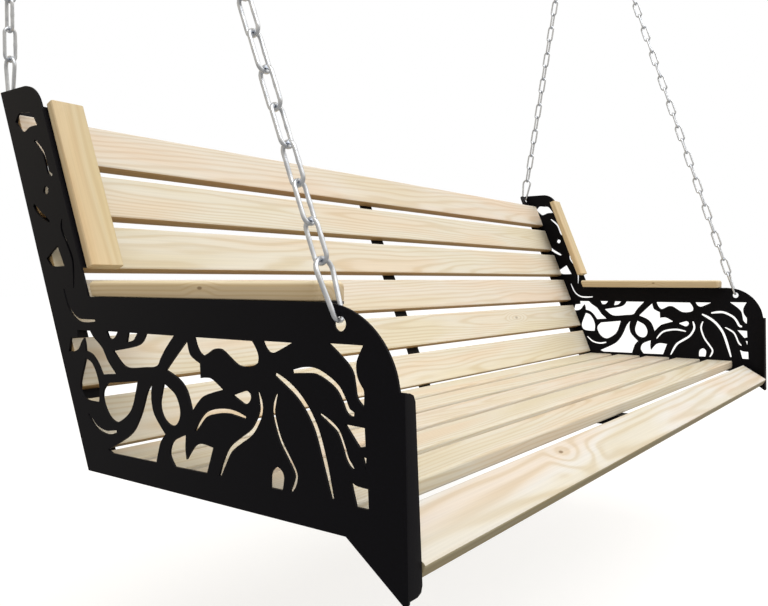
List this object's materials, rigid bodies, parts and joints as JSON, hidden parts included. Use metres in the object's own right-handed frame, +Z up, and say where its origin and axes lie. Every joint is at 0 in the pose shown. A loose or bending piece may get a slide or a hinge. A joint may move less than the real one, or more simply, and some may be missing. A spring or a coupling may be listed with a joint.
{
  "type": "garden swing bench",
  "caption": "Garden swing bench: black steel side panels cut with a leaf scroll, pine slatted seat, back and armrests, hung on long-link chains from rings so that it swings.",
  "frame": {"origin": "on the swing axis, half way between the two hanging rings, at the centre of their lowest wire", "axes": "+X along the bench to the right as seen from the front, +Y to the back, +Z up"},
  "size_m": [1.9678, 0.7444, 1.7851],
  "materials": {
    "pine": "planed, clear oil",
    "black_steel": "satin black powder coat",
    "zinc_steel": "bright zinc plate"
  },
  "bodies": {
    "rings": {"left_ring": "zinc_steel", "right_ring": "zinc_steel"},
    "bench": {"left_side_panel": "black_steel", "right_side_panel": "black_steel", "middle_strap": "black_steel", "back_slat_1": "pine", "back_slat_2": "pine", "back_slat_3": "pine", "back_slat_4": "pine", "back_slat_5": "pine", "back_slat_6": "pine", "seat_slat_1": "pine", "seat_slat_2": "pine", "seat_slat_3": "pine", "seat_slat_4": "pine", "seat_slat_5": "pine", "front_apron": "pine", "left_armrest": "pine", "left_upright_board": "pine", "right_armrest": "pine", "right_upright_board": "pine", "left_front_chain": "zinc_steel", "left_front_connector": "zinc_steel", "left_rear_chain": "zinc_steel", "left_rear_connector": "zinc_steel", "right_front_chain": "zinc_steel", "right_front_connector": "zinc_steel", "right_rear_chain": "zinc_steel", "right_rear_connector": "zinc_steel"}
  },
  "joints": [
    {"name": "swing", "type": "hinge", "parent": "rings", "child": "bench", "pos_m": [0, 0, 0], "axis": [1, 0, 0], "range_deg": [-30, 30]}
  ]
}
